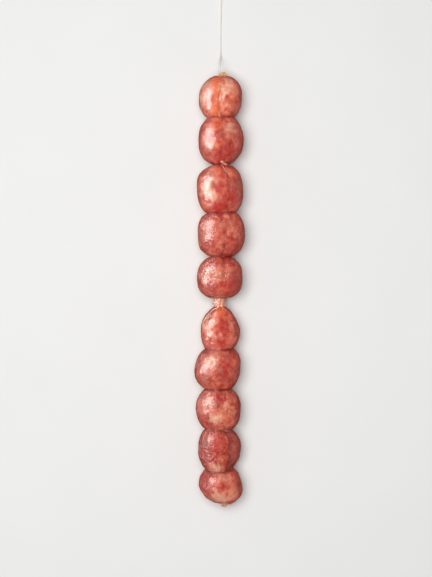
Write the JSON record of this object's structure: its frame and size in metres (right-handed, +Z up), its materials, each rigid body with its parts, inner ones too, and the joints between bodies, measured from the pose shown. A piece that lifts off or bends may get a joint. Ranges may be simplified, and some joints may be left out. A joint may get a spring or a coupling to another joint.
{
  "type": "string of sausage links",
  "caption": "Raw ball-shaped sausage links twisted from a natural casing, lying in a row, with a thin cotton hanging thread tied to the end.",
  "frame": {"origin": "on the surface that the string lies on, under the middle of the casing's box, measured without the hanging thread", "axes": "+Y along the string towards its hanging end, +Z up from the surface to the shown side, +X to the right of the shown side"},
  "size_m": [0.04, 0.4383, 0.0364],
  "materials": {
    "sausage": "thin moist natural casing over coarse red and pink ground meat with pale fat, glossy and finely wrinkled",
    "tie": "cotton thread stained by the meat",
    "thread": "plain twisted cotton thread, matte"
  },
  "bodies": {
    "root": {"sausage_string": "sausage", "thread_tie": "tie", "hanging_thread": "thread", "loop_knot": "thread", "hanging_loop": "thread"}
  },
  "joints": []
}
